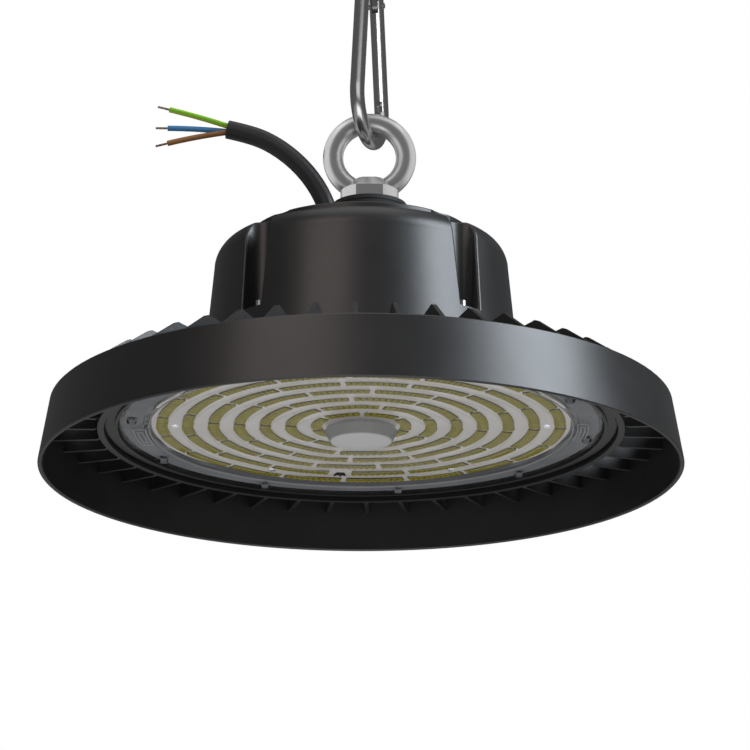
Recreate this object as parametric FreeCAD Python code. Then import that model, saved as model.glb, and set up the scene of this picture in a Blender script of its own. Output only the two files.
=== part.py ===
import FreeCAD, Part
import os
from math import asin, atan, cos, degrees, hypot, pi, radians, sin, sqrt, tan

# High bay light on a snap hook, in millimetres.
# Heights are measured up from the rim's lower edge, and radii from the light's own axis.
# The last step moves everything so that the inside top of the hook is the origin.

# Rim: the drafted band round the heat sink
rim_radius = 155.0
rim_lean = 5.0
rim_height = 31.0
rim_wall = 2.3
rim_edge_round = 0.5

# Base disc of the heat sink, and the stepped lips that hang below its seat
board_seat_height = 25.0
fin_reach = 28.1
base_thickness = 6.0
outer_lip_width = 3.1
outer_lip_drop = 6.4
groove_width = 1.0
groove_depth = 1.5
ledge_width = 4.2
ledge_drop = 4.2
inner_lip_width = 1.4
inner_lip_drop = 5.2

# Fins, which rise above the base disc and reach out to the rim
fin_count = 46
fin_thickness = 2.1
fin_foot_drop = 6.2
fin_peak_offset = 3.1
fin_peak_rise = 11.8
fin_peak_flat = 1.6
fin_inner_clearance = 4.5
fin_inner_rise = 7.0
first_fin_angle = -1.0

# Pedestal that carries the driver housing
pedestal_step = 1.5
pedestal_wall = 13.0
pedestal_rise = 11.0
housing_gasket_thickness = 2.5
lead_hole_radius = 6.0

# Driver housing: a drafted cap with four screw recesses, a plateau and a boss
housing_foot_radius = 77.0
housing_draft = 6.3
housing_body_height = 67.5
shoulder_width = 8.0
shoulder_height = 11.0
shoulder_top_round = 6.0
housing_wall = 3.0
recess_angle = 43.9
recess_half_width = 5.9
recess_flare = 1.8
recess_depth = 9.0
recess_shelf_rise = 20.5
recess_mouth_round = 1.2
recess_land = 8.1
plateau_step = 6.3
plateau_rise = 6.0
plateau_round = 1.0
boss_foot_radius = 19.5
boss_top_radius = 18.0
boss_rise = 15.2
clear_gap = 0.3

# Housing screws, which stand in the recesses
screw_centre_depth = 7.0
screw_head_radius = 2.4
screw_head_height = 4.4
screw_shank_radius = 1.5
screw_bite = 9.0
socket_radius = 1.3
socket_depth = 1.8

# Lens with its annular ribs and central cup, just clear of the lamp rows
lens_side_gap = 1.0
lens_row_gap = 0.2
lens_thickness = 1.8
rib_height = 0.8
rib_half_width = 2.8
cup_foot_radius = 17.6
cup_face_radius = 14.9
cup_depth = 5.8
cup_wall = 1.6
lens_gasket_edge_gap = 1.6
lens_gasket_width = 9.6

# Lens screws
lens_screw_count = 10
lens_screw_edge_gap = 5.4
lens_screw_first_angle = 26.4
lens_screw_head_radius = 2.6
lens_screw_head_height = 1.6
lens_screw_shank_radius = 1.25
lens_screw_length = 8.0

# Light-emitting board: rings of soldered rows, a terminal and its fixings
board_edge_gap = 4.0
board_thickness = 1.6
pad_thickness = 0.5
led_edge_gap = 5.0
led_ring_cup_gap = 4.0
led_group_counts = (20, 18, 16, 14, 12, 9, 6)
led_row_half_width = 1.7
led_row_height = 0.7
led_row_gap = 3.0
board_screw_count = 6
board_screw_angle = 30.0
board_screw_head_radius = 2.2
board_screw_head_height = 0.6
board_screw_shank_radius = 1.2
board_screw_length = 5.0
pan_top_share = 0.7
terminal_length = 9.0
terminal_width = 5.0
terminal_height = 3.6
terminal_offset = 9.0
clip_length = 6.4
clip_width = 3.0
clip_height = 0.8
clip_row_gap = 1.4
clip_angle = -7.8

# Driver module on four posts, and its output leads
driver_side = 76.0
driver_corner = 4.0
driver_height = 48.0
driver_post_radius = 4.0
driver_post_height = 6.0
driver_post_inset = 7.0
driver_ear_thickness = 1.5
driver_ear_reach = 5.5
driver_screw_head_radius = 2.8
driver_screw_head_height = 2.0
driver_screw_shank_radius = 1.5
driver_screw_length = 6.0
lead_radius = 1.1
lead_spacing = 5.0
lead_bend_radius = 2.6

# Eye bolt, its seal, washer and nut
hook_offset = 4.0
eye_ring_radius = 18.0
eye_wire_radius = 5.0
eye_centre_rise = 25.2
collar_radius = 14.3
collar_thickness = 7.0
collar_flat_depth = 1.6
collar_cone_height = 5.5
collar_cone_radius = 8.5
eye_shank_radius = 5.0
eye_shank_length = 31.0
eye_seal_overhang = 0.3
eye_seal_thickness = 2.0
eye_nut_across = 17.0
eye_nut_thickness = 8.0
eye_washer_radius = 10.0
eye_washer_thickness = 2.0

# Cable gland
gland_x = -14.6
gland_y = 28.0
gland_across = 20.0
gland_body_thickness = 3.5
gland_thread_radius = 8.0
gland_thread_length = 5.5
gland_nut_radius = 9.6
gland_nut_height = 8.2
gland_nut_mouth_radius = 6.2
gland_seal_thickness = 3.0
gland_locknut_across = 20.0
gland_locknut_thickness = 3.0

# Supply cable: its route is measured sideways and up from the foot of the gland
cable_radius = 4.7
cable_bore_clearance = 0.15
cable_route = (
    (0.0, 2.5),
    (0.0, 15.1),
    (-2.8, 27.6),
    (-8.7, 39.6),
    (-17.4, 50.5),
    (-28.6, 59.6),
    (-40.5, 65.4),
    (-53.0, 68.2),
)

# Cores: their routes are measured sideways, back and up from the cable's cut end
core_radius = 1.4
core_root_length = 1.2
bend_reach_share = 0.45
strand_radius = 0.6
strand_length = 6.0
core_routes = {
    "earth": ((0.1, 0.2, 1.9), (-14.4, 0.0, 6.9), (-29.2, -0.4, 10.5)),
    "neutral": ((0.1, 1.8, -0.5), (-15.0, 1.9, 1.2), (-30.1, 2.0, 1.4)),
    "live": ((0.1, -1.4, -2.1), (-15.0, -1.6, -4.3), (-29.9, -1.8, -8.2)),
}

# Snap hook with a sprung gate
hook_wire_radius = 3.6
hook_seat_gap = 0.3
hook_turn = 18.0
hook_wide_radius = 19.5
hook_narrow_radius = 11.0
hook_centre_distance = 59.1
nose_angle = 5.0
nose_tongue_thickness = 2.4
nose_tongue_length = 4.0
nose_tongue_width = 4.3
tongue_root = 1.0
gate_end_gap = 0.3
gate_slot_clearance = 0.35
pivot_tongue_thickness = 2.6
pivot_tongue_length = 8.0
pivot_tongue_width = 6.5
gate_pin_radius = 1.4
gate_pin_clearance = 0.05
gate_pin_head = 0.5

# Radii and spacings worked out from the sizes above
rim_top_radius = rim_radius - rim_lean
base_radius = rim_radius - fin_reach
fin_peak_radius = base_radius + fin_peak_offset
pedestal_radius = housing_foot_radius + pedestal_step
fin_inner_radius = pedestal_radius + fin_inner_clearance
housing_top_radius = housing_foot_radius - housing_draft
recess_inner_radius = housing_top_radius - recess_depth
recess_centre_radius = recess_inner_radius + recess_half_width + recess_flare
plateau_radius = recess_inner_radius - plateau_step
screw_circle_radius = recess_inner_radius + screw_centre_depth
seat_radius = base_radius - outer_lip_width - groove_width - ledge_width - inner_lip_width
lens_radius = seat_radius - lens_side_gap
lens_gasket_outer_radius = lens_radius - lens_gasket_edge_gap
lens_gasket_inner_radius = lens_gasket_outer_radius - lens_gasket_width
lens_screw_circle = lens_radius - lens_screw_edge_gap
board_radius = lens_gasket_inner_radius - board_edge_gap
led_ring_outer = board_radius - led_edge_gap
led_ring_inner = cup_foot_radius + led_ring_cup_gap
led_ring_pitch = (led_ring_outer - led_ring_inner) / (len(led_group_counts) - 1)
board_screw_circle = led_ring_outer - led_ring_pitch / 2
clip_radius = led_ring_outer - led_ring_pitch + led_row_half_width + clip_row_gap + clip_width / 2
driver_post_spacing = driver_side - 2 * driver_post_inset
collar_flat_width = 2 * (collar_radius - collar_flat_depth)
eye_seal_radius = boss_top_radius + eye_seal_overhang

# Heights worked out from the sizes above, from the lens up to the hook
base_top_height = board_seat_height + base_thickness
inner_lip_height = board_seat_height - inner_lip_drop
ledge_height = board_seat_height - ledge_drop
outer_lip_height = board_seat_height - outer_lip_drop
fin_foot_height = board_seat_height - fin_foot_drop
fin_peak_height = base_top_height + fin_peak_rise
fin_inner_height = base_top_height + fin_inner_rise
board_bottom_height = board_seat_height - pad_thickness - board_thickness
lens_top_height = board_bottom_height - led_row_height - lens_row_gap
lens_bottom_height = lens_top_height - lens_thickness
cup_face_height = lens_bottom_height - cup_depth
driver_bottom_height = base_top_height + driver_post_height
pedestal_height = base_top_height + pedestal_rise
housing_foot_height = pedestal_height + housing_gasket_thickness
housing_top_height = housing_foot_height + housing_body_height
recess_shelf_height = housing_foot_height + recess_shelf_rise
plateau_height = housing_top_height + plateau_rise
boss_height = plateau_height + boss_rise
seal_top_height = boss_height + eye_seal_thickness
eye_centre_height = seal_top_height + eye_centre_rise
wire_axis_height = eye_centre_height + eye_ring_radius
hook_low_height = wire_axis_height - eye_wire_radius - hook_seat_gap - hook_wire_radius
wide_centre_height = hook_low_height + hook_wide_radius
narrow_centre_height = wide_centre_height + hook_centre_distance
hang_height = narrow_centre_height + hook_narrow_radius - hook_wire_radius
rim_slope = (rim_radius - rim_top_radius) / rim_height
full_turn = 360.0
z_axis = FreeCAD.Vector(0, 0, 1)
centre = FreeCAD.Vector(0, 0, 0)
origin_shift = FreeCAD.Vector(-hook_offset, 0, -hang_height)


def vector(x, y, z):
    return FreeCAD.Vector(x, y, z)


def polar(radius, angle, z):
    """Point at an angle measured from the front of the light, positive to the right."""
    return vector(radius * sin(radians(angle)), -radius * cos(radians(angle)), z)


def turned(profile):
    """Solid of revolution about the light's axis, from (radius, height) points."""
    points = [vector(r, 0, z) for r, z in profile]
    face = Part.Face(Part.makePolygon(points + points[:1]))
    return face.revolve(centre, z_axis, full_turn)


def prism(outline, z_low, z_high):
    """Upright solid over a plan outline of (x, y) points."""
    points = [vector(x, y, z_low) for x, y in outline]
    face = Part.Face(Part.makePolygon(points + points[:1]))
    return face.extrude(vector(0, 0, z_high - z_low))


def upright(radius, z_low, z_high, x=0.0, y=0.0):
    return Part.makeCylinder(radius, z_high - z_low, vector(x, y, z_low))


def hexagon(across, z_low, z_high, x=0.0, y=0.0):
    corner = across / 2 / cos(pi / 6)
    outline = [(x + corner * cos(k * pi / 3), y + corner * sin(k * pi / 3)) for k in range(6)]
    return prism(outline, z_low, z_high)


def around(shape, angle, x=0.0, y=0.0):
    """Copy of a shape turned about an upright line, positive from front to right."""
    copy = shape.copy()
    copy.rotate(vector(x, y, 0), z_axis, angle)
    return copy


def cap_screw(head_radius, head_height, shank_radius, length, socket, depth):
    """Socket screw standing head up, with the underside of its head at height zero."""
    screw = upright(head_radius, 0, head_height)
    screw = screw.fuse(upright(shank_radius, -length, 0))
    return screw.cut(hexagon(2 * socket, head_height - depth, head_height + depth))


def pan_screw(head_radius, head_height, shank_radius, length):
    """Low round-headed screw, head down, with the underside of its head at height zero."""
    cone = Part.makeCone(head_radius * pan_top_share, head_radius, head_height, vector(0, 0, -head_height))
    return cone.fuse(upright(shank_radius, 0, length))


def group(shapes):
    return Part.makeCompound(shapes)


# Heat sink: one casting of disc, lips, rim, fins and pedestal
def rim_radius_at(height):
    return rim_radius - rim_slope * height


def rim_band():
    inner_low = rim_radius - rim_wall
    inner_top = rim_top_radius - rim_wall
    profile = (
        (inner_low, rim_edge_round),
        (inner_low + rim_edge_round, 0),
        (rim_radius - rim_edge_round, 0),
        (rim_radius, rim_edge_round),
        (rim_top_radius, rim_height - rim_edge_round),
        (rim_top_radius - rim_edge_round, rim_height),
        (inner_top, rim_height),
    )
    return turned(profile)


def base_disc():
    groove_outer = base_radius - outer_lip_width
    ledge_outer = groove_outer - groove_width
    ledge_inner = ledge_outer - ledge_width
    profile = (
        (lead_hole_radius, board_seat_height),
        (seat_radius, board_seat_height),
        (seat_radius, inner_lip_height),
        (ledge_inner, inner_lip_height),
        (ledge_inner, ledge_height),
        (ledge_outer, ledge_height),
        (ledge_outer, ledge_height + groove_depth),
        (groove_outer, ledge_height + groove_depth),
        (groove_outer, outer_lip_height),
        (base_radius, outer_lip_height),
        (base_radius, base_top_height),
        (pedestal_radius, base_top_height),
        (pedestal_radius, pedestal_height),
        (pedestal_radius - pedestal_wall, pedestal_height),
        (pedestal_radius - pedestal_wall, base_top_height),
        (lead_hole_radius, base_top_height),
    )
    return turned(profile)


def fin():
    """One fin in the front plane, from the disc to the rim."""
    sink = rim_wall / 2
    foot_outer = rim_radius_at(fin_foot_height) - sink
    top_outer = rim_radius_at(rim_height) - sink
    profile = (
        (base_radius - outer_lip_width / 2, fin_foot_height + fin_peak_flat),
        (base_radius + fin_peak_flat, fin_foot_height),
        (foot_outer, fin_foot_height),
        (top_outer, rim_height - rim_edge_round),
        (fin_peak_radius + fin_peak_flat, fin_peak_height - fin_peak_flat / 3),
        (fin_peak_radius, fin_peak_height),
        (fin_peak_radius - fin_peak_flat, fin_peak_height - fin_peak_flat / 5),
        (fin_inner_radius, fin_inner_height),
        (fin_inner_radius, base_top_height - base_thickness / 2),
        (base_radius - outer_lip_width / 2, base_top_height - base_thickness / 2),
    )
    points = [vector(-fin_thickness / 2, -r, z) for r, z in profile]
    face = Part.Face(Part.makePolygon(points + points[:1]))
    return face.extrude(vector(fin_thickness, 0, 0))


def ring_of_holes(radius, count, circle, first, z_low, z_high):
    holes = []
    for k in range(count):
        at = polar(circle, first + k * full_turn / count, z_low)
        holes.append(Part.makeCylinder(radius, z_high - z_low, at))
    return holes


def driver_posts(radius, z_low, z_high):
    half = driver_post_spacing / 2
    posts = []
    for sx in (-1, 1):
        for sy in (-1, 1):
            posts.append(upright(radius, z_low, z_high, sx * half, sy * half))
    return posts


def housing_screw_angles():
    return [recess_angle, 180 - recess_angle, 180 + recess_angle, -recess_angle]


def heat_sink():
    fins = [around(fin(), first_fin_angle + k * full_turn / fin_count) for k in range(fin_count)]
    body = base_disc().fuse(driver_posts(driver_post_radius, base_top_height, driver_bottom_height))
    body = rim_band().fuse([body] + fins)
    drills = ring_of_holes(lens_screw_shank_radius, lens_screw_count, lens_screw_circle,
                           lens_screw_first_angle, lens_top_height, lens_bottom_height + lens_screw_length)
    drills += ring_of_holes(board_screw_shank_radius, board_screw_count, board_screw_circle,
                            board_screw_angle, board_bottom_height, board_bottom_height + board_screw_length)
    screw_foot = driver_bottom_height - driver_screw_length
    drills += driver_posts(driver_screw_shank_radius, screw_foot, driver_bottom_height)
    screw_end = pedestal_height - screw_bite
    for angle in housing_screw_angles():
        foot = polar(screw_circle_radius, angle, screw_end)
        drills.append(Part.makeCylinder(screw_shank_radius, screw_bite, foot))
    return body.cut(drills)


# Driver housing: a turned cap cut by four screw recesses
def housing_radius_at(height):
    share = (height - housing_foot_height) / (housing_top_height - housing_foot_height)
    return housing_foot_radius + share * (housing_top_radius - housing_foot_radius)


def recess_half_at(height):
    share = (height - recess_shelf_height) / (housing_top_height - recess_shelf_height)
    return recess_half_width + share * recess_flare


def shoulder_edges(foot):
    """Two tangent arcs: a long one up from the wall and a tighter one over into the flat top."""
    turn = 2 * atan((shoulder_width - shoulder_top_round) / (shoulder_height - shoulder_top_round))
    wall_round = shoulder_top_round + (shoulder_height - shoulder_top_round) / sin(turn)
    wall_centre = foot - vector(wall_round, 0, 0)
    top_centre = wall_centre + vector(cos(turn), 0, sin(turn)) * (wall_round - shoulder_top_round)
    middle = wall_centre + vector(cos(turn / 2), 0, sin(turn / 2)) * wall_round
    meeting = wall_centre + vector(cos(turn), 0, sin(turn)) * wall_round
    upper = (turn + pi / 2) / 2
    over = top_centre + vector(cos(upper), 0, sin(upper)) * shoulder_top_round
    top = top_centre + vector(0, 0, shoulder_top_round)
    return [Part.Arc(foot, middle, meeting).toShape(), Part.Arc(meeting, over, top).toShape()], top


def cap_solid():
    shoulder_foot = housing_top_height - shoulder_height
    low = vector(housing_foot_radius, 0, housing_foot_height)
    wall_top = vector(housing_radius_at(shoulder_foot), 0, shoulder_foot)
    shoulder, corner = shoulder_edges(wall_top)
    plateau_foot = vector(plateau_radius, 0, housing_top_height)
    plateau_wall = vector(plateau_radius, 0, plateau_height - plateau_round)
    plateau_mid = vector(plateau_radius - plateau_round * (1 - sqrt(0.5)), 0,
                         plateau_height - plateau_round * (1 - sqrt(0.5)))
    plateau_edge = vector(plateau_radius - plateau_round, 0, plateau_height)
    axis_top = vector(0, 0, plateau_height)
    axis_low = vector(0, 0, housing_foot_height)
    edges = [
        Part.LineSegment(axis_low, low).toShape(),
        Part.LineSegment(low, wall_top).toShape(),
        *shoulder,
        Part.LineSegment(corner, plateau_foot).toShape(),
        Part.LineSegment(plateau_foot, plateau_wall).toShape(),
        Part.Arc(plateau_wall, plateau_mid, plateau_edge).toShape(),
        Part.LineSegment(plateau_edge, axis_top).toShape(),
        Part.LineSegment(axis_top, axis_low).toShape(),
    ]
    return Part.Face(Part.Wire(edges)).revolve(centre, z_axis, full_turn)


def recess_tool(grow, z_low, z_high):
    """Flared slot with a round inner end, in the front plane, grown by a wall all round."""
    low = recess_half_at(z_low) + grow
    high = recess_half_at(z_high) + grow
    outer = housing_foot_radius + housing_wall
    outline = [(-low, z_low), (low, z_low), (high, z_high), (-high, z_high), (-low, z_low)]
    mouth = Part.Face(Part.makePolygon([vector(x, -outer, z) for x, z in outline]))
    slot = mouth.extrude(vector(0, outer - recess_centre_radius, 0))
    return slot.fuse(Part.makeCone(low, high, z_high - z_low, vector(0, -recess_centre_radius, z_low)))


def housing_cavity():
    wall = housing_wall
    top = housing_top_height - wall
    shoulder_foot = housing_top_height - shoulder_height
    edge = housing_radius_at(shoulder_foot)
    profile = (
        (0, housing_foot_height - clear_gap),
        (housing_foot_radius - wall, housing_foot_height - clear_gap),
        (edge - wall, shoulder_foot),
        (edge - shoulder_width, top),
        (plateau_radius - recess_land, top),
        (plateau_radius - recess_land, plateau_height - wall),
        (0, plateau_height - wall),
    )
    cavity = turned(profile)
    for angle in housing_screw_angles():
        keep = recess_tool(housing_wall, housing_foot_height - wall, housing_top_height)
        cavity = cavity.cut(around(keep, angle))
    return cavity


def mouth_edges(shape):
    """Upright edges where a recess meets the outside of the cap."""
    chosen = []
    for edge in shape.Edges:
        box = edge.BoundBox
        ends = [v.Point for v in edge.Vertexes]
        if len(ends) != 2 or box.ZLength < shoulder_height / 4:
            continue
        low = min(p.z for p in ends)
        far = min(hypot(p.x, p.y) for p in ends)
        if low > recess_shelf_height - clear_gap and far > recess_centre_radius + clear_gap:
            chosen.append(edge)
    return chosen


def driver_housing():
    cap = cap_solid()
    tools = [around(recess_tool(0, recess_shelf_height, plateau_height), angle)
             for angle in housing_screw_angles()]
    cap = cap.cut(tools)
    cap = cap.makeFillet(recess_mouth_round, mouth_edges(cap))
    notch = upright(recess_half_at(housing_top_height) + recess_land, housing_top_height, plateau_height, 0,
                    -recess_centre_radius)
    cap = cap.cut([around(notch, angle) for angle in housing_screw_angles()])
    boss = Part.makeCone(boss_foot_radius, boss_top_radius, boss_height - plateau_height + housing_wall,
                         vector(hook_offset, 0, plateau_height - housing_wall))
    cap = cap.fuse(boss)
    cap = cap.cut(housing_cavity())
    bores = [upright(eye_shank_radius + clear_gap, housing_top_height, boss_height + clear_gap, hook_offset)]
    bores.append(upright(gland_thread_radius + clear_gap, housing_top_height, plateau_height + clear_gap,
                         gland_x, gland_y))
    for angle in housing_screw_angles():
        foot = polar(screw_circle_radius, angle, housing_foot_height - clear_gap)
        depth = recess_shelf_height - housing_foot_height + 2 * clear_gap
        bores.append(Part.makeCylinder(screw_shank_radius + clear_gap, depth, foot))
    return cap.cut(bores)


def housing_gasket():
    outer = housing_foot_radius - clear_gap
    inner = pedestal_radius - pedestal_wall
    ring = upright(outer, pedestal_height, housing_foot_height)
    ring = ring.cut(upright(inner, pedestal_height, housing_foot_height))
    holes = [Part.makeCylinder(screw_shank_radius + clear_gap, housing_gasket_thickness,
                               polar(screw_circle_radius, angle, pedestal_height))
             for angle in housing_screw_angles()]
    return ring.cut(holes)


def housing_screws():
    length = recess_shelf_height - pedestal_height + screw_bite
    screw = cap_screw(screw_head_radius, screw_head_height, screw_shank_radius, length,
                      socket_radius, socket_depth)
    screws = []
    for angle in housing_screw_angles():
        copy = screw.copy()
        copy.translate(polar(screw_circle_radius, angle, recess_shelf_height))
        screws.append(copy)
    return group(screws)


# Lens, its gasket and screws
def led_radii():
    return [led_ring_outer - k * led_ring_pitch for k in range(len(led_group_counts))]


def lens():
    edges = []
    last = vector(lens_radius, 0, lens_bottom_height)
    for radius in led_radii():
        outer = vector(radius + rib_half_width, 0, lens_bottom_height)
        crest = vector(radius, 0, lens_bottom_height - rib_height)
        inner = vector(radius - rib_half_width, 0, lens_bottom_height)
        edges.append(Part.LineSegment(last, outer).toShape())
        edges.append(Part.Arc(outer, crest, inner).toShape())
        last = inner
    slope = (cup_foot_radius - cup_face_radius) / (lens_bottom_height - cup_face_height)
    rest = (
        (cup_foot_radius, lens_bottom_height),
        (cup_face_radius, cup_face_height),
        (0, cup_face_height),
        (0, cup_face_height + cup_wall),
        (cup_face_radius - cup_wall + slope * cup_wall, cup_face_height + cup_wall),
        (cup_foot_radius - cup_wall + slope * cup_wall, lens_top_height),
        (lens_radius, lens_top_height),
        (lens_radius, lens_bottom_height),
    )
    for radius, height in rest:
        point = vector(radius, 0, height)
        edges.append(Part.LineSegment(last, point).toShape())
        last = point
    body = Part.Face(Part.Wire(edges)).revolve(centre, z_axis, full_turn)
    holes = ring_of_holes(lens_screw_shank_radius + clear_gap, lens_screw_count, lens_screw_circle,
                          lens_screw_first_angle, lens_bottom_height, lens_top_height)
    return body.cut(holes)


def lens_gasket():
    ring = upright(lens_gasket_outer_radius, lens_top_height, board_seat_height)
    ring = ring.cut(upright(lens_gasket_inner_radius, lens_top_height, board_seat_height))
    holes = ring_of_holes(lens_screw_shank_radius + clear_gap, lens_screw_count, lens_screw_circle,
                          lens_screw_first_angle, lens_top_height, board_seat_height)
    return ring.cut(holes)


def screw_ring(screw, count, circle, first, height):
    screws = []
    for k in range(count):
        copy = screw.copy()
        copy.translate(polar(circle, first + k * full_turn / count, height))
        screws.append(copy)
    return group(screws)


def lens_screws():
    screw = pan_screw(lens_screw_head_radius, lens_screw_head_height, lens_screw_shank_radius,
                      lens_screw_length)
    return screw_ring(screw, lens_screw_count, lens_screw_circle, lens_screw_first_angle,
                      lens_bottom_height)


# Board with its rows, terminal, clip and screws
def led_board():
    board = upright(board_radius, board_bottom_height, board_bottom_height + board_thickness)
    holes = [upright(lead_hole_radius, board_bottom_height, board_seat_height)]
    holes += ring_of_holes(board_screw_shank_radius + clear_gap, board_screw_count,
                           board_screw_circle, board_screw_angle, board_bottom_height, board_seat_height)
    return board.cut(holes)


def thermal_pad():
    top = board_seat_height
    pad = upright(board_radius, top - pad_thickness, top)
    holes = [upright(lead_hole_radius, top - pad_thickness, top)]
    holes += ring_of_holes(board_screw_shank_radius + clear_gap, board_screw_count,
                           board_screw_circle, board_screw_angle, top - pad_thickness, top)
    return pad.cut(holes)


def led_rows():
    """Every soldered group of a ring as one bar bent once at its middle."""
    rows = []
    low = board_bottom_height - led_row_height
    for radius, count in zip(led_radii(), led_group_counts):
        step = full_turn / count
        half = step / 2 - degrees(led_row_gap / 2 / radius)
        for k in range(count):
            mid = k * step
            angles = (mid - half, mid, mid + half)
            outer = [polar(radius + led_row_half_width, a, 0) for a in angles]
            inner = [polar(radius - led_row_half_width, a, 0) for a in reversed(angles)]
            outline = [(p.x, p.y) for p in outer + inner]
            rows.append(prism(outline, low, board_bottom_height))
    return group(rows)


def board_screws():
    screw = pan_screw(board_screw_head_radius, board_screw_head_height, board_screw_shank_radius,
                      board_screw_length)
    return screw_ring(screw, board_screw_count, board_screw_circle, board_screw_angle,
                      board_bottom_height)


def lead_terminal():
    low = board_bottom_height - terminal_height
    block = Part.makeBox(terminal_length, terminal_width, terminal_height,
                         vector(-terminal_length / 2, terminal_offset - terminal_width / 2, low))
    mouths = []
    for side in (-1, 1):
        x = side * lead_spacing / 2
        z = low + terminal_height / 2
        mouths.append(Part.makeCylinder(lead_radius, terminal_width / 2,
                                        vector(x, terminal_offset - terminal_width / 2, z),
                                        vector(0, 1, 0)))
    return block.cut(mouths)


def board_clip():
    """Small black part soldered near the outer rows, with a notch in its far side."""
    low = board_bottom_height - clip_height
    block = Part.makeBox(clip_length, clip_width, clip_height,
                         vector(-clip_length / 2, clip_radius - clip_width / 2, low))
    notch = Part.makeBox(clip_length / 3, clip_width / 2, clip_height,
                         vector(-clip_length / 6, clip_radius, low))
    return around(block.cut(notch), -clip_angle)


# Driver module, its screws and its output leads
def led_driver():
    half = driver_side / 2
    box = Part.makeBox(driver_side, driver_side, driver_height,
                       vector(-half, -half, driver_bottom_height))
    uprights = [e for e in box.Edges if e.BoundBox.ZLength > driver_height / 2]
    box = box.makeFillet(driver_corner, uprights)
    notches = []
    ear_top = driver_bottom_height + driver_ear_thickness
    for sx in (-1, 1):
        for sy in (-1, 1):
            cx = sx * driver_post_spacing / 2
            cy = sy * driver_post_spacing / 2
            x = min(cx - sx * driver_ear_reach, sx * half)
            y = min(cy - sy * driver_ear_reach, sy * half)
            side = half - driver_post_spacing / 2 + driver_ear_reach
            notches.append(Part.makeBox(side, side, driver_height, vector(x, y, ear_top)))
            notches.append(upright(driver_screw_shank_radius + clear_gap, driver_bottom_height,
                                   ear_top, cx, cy))
    return box.cut(notches)


def driver_screws():
    screw = upright(driver_screw_head_radius, 0, driver_screw_head_height)
    screw = screw.fuse(upright(driver_screw_shank_radius, -driver_screw_length - driver_ear_thickness, 0))
    half = driver_post_spacing / 2
    screws = []
    for sx in (-1, 1):
        for sy in (-1, 1):
            copy = screw.copy()
            copy.translate(vector(sx * half, sy * half, driver_bottom_height + driver_ear_thickness))
            screws.append(copy)
    return group(screws)


def output_lead(side):
    """Lead from the driver's underside, through the hole, into the terminal."""
    x = side * lead_spacing / 2
    z = board_bottom_height - terminal_height / 2
    top = vector(x, 0, driver_bottom_height)
    bend = vector(x, 0, z)
    end = vector(x, terminal_offset, z)
    return tube([top, bend, end], lead_radius, lead_bend_radius)


# Tubes along straight runs joined by tangent arcs
def run_path(points, fixed_radius=None):
    """Wire of straight runs and tangent arcs, with its smallest arc radius and its length."""
    edges = []
    radii = []
    here = points[0]
    for k in range(1, len(points) - 1):
        back = points[k - 1] - points[k]
        ahead = points[k + 1] - points[k]
        turn = pi - back.getAngle(ahead)
        shorter = min(back.Length, ahead.Length)
        reach = bend_reach_share * shorter
        radius = reach / tan(turn / 2)
        if fixed_radius is not None:
            radius = fixed_radius
            reach = radius * tan(turn / 2)
        radii.append(radius)
        u = back.normalize()
        v = ahead.normalize()
        first = points[k] + u * reach
        last = points[k] + v * reach
        bisector = (u + v).normalize()
        to_centre = hypot(radius, reach)
        middle = points[k] + bisector * (to_centre - radius)
        edges.append(Part.LineSegment(here, first).toShape())
        edges.append(Part.Arc(first, middle, last).toShape())
        here = last
    edges.append(Part.LineSegment(here, points[-1]).toShape())
    wire = Part.Wire(edges)
    return wire, radii


def tube(points, radius, bend_radius=None):
    wire, _ = run_path(points, bend_radius)
    start = points[0]
    circle = Part.Circle(start, points[1] - points[0], radius)
    profile = Part.Wire([circle.toShape()])
    return wire.makePipeShell([profile], True, False)


def cable_points():
    return [vector(gland_x + x, gland_y, plateau_height + z) for x, z in cable_route]


def report_cord(name, points, radius, solid):
    wire, radii = run_path(points)
    smallest = min(radii) / (2 * radius)
    expected = pi * radius ** 2 * wire.Length
    ratio = solid.Volume / expected
    text = "%s length %.1f, smallest bend %.1f diameters, volume ratio %.4f"
    print(text % (name, wire.Length, smallest, ratio))


def core_points(name):
    end = cable_points()[-1]
    return [end + vector(*point) for point in core_routes[name]]


def core_solid(name, sheath):
    """Core from its root in the sheath's cut face to where it is stripped."""
    points = core_points(name)
    root = points[0] - (points[1] - points[0]).normalize() * core_root_length
    return tube([root] + points[1:], core_radius).cut(sheath)


def strand_solid(name):
    points = core_points(name)
    direction = (points[-1] - points[-2]).normalize()
    return Part.makeCylinder(strand_radius, strand_length, points[-1], direction)


# Eye bolt with its seal, washer and nut
def eye_bolt():
    ring = Part.makeTorus(eye_ring_radius, eye_wire_radius,
                          vector(hook_offset, 0, eye_centre_height), vector(0, 1, 0))
    collar = upright(collar_radius, seal_top_height, seal_top_height + collar_thickness, hook_offset)
    flats = Part.makeBox(2 * collar_radius, collar_flat_width, collar_thickness,
                         vector(hook_offset - collar_radius, -collar_flat_width / 2, seal_top_height))
    collar = collar.common(flats)
    cone = Part.makeCone(collar_radius - housing_wall / 2, collar_cone_radius, collar_cone_height,
                         vector(hook_offset, 0, seal_top_height + collar_thickness))
    cone = cone.common(Part.makeBox(2 * collar_radius, collar_flat_width, collar_thickness,
                                    vector(hook_offset - collar_radius, -collar_flat_width / 2,
                                           seal_top_height + collar_thickness)))
    hole = Part.makeCylinder(eye_ring_radius - eye_wire_radius, 2 * collar_radius,
                             vector(hook_offset, -collar_radius, eye_centre_height), vector(0, 1, 0))
    cone = cone.cut(hole)
    shank = upright(eye_shank_radius, seal_top_height - eye_shank_length, seal_top_height, hook_offset)
    return ring.fuse([collar, cone, shank])


def eye_bolt_seal():
    seal = upright(eye_seal_radius, boss_height, seal_top_height, hook_offset)
    return seal.cut(upright(eye_shank_radius + clear_gap, boss_height, seal_top_height, hook_offset))


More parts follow.
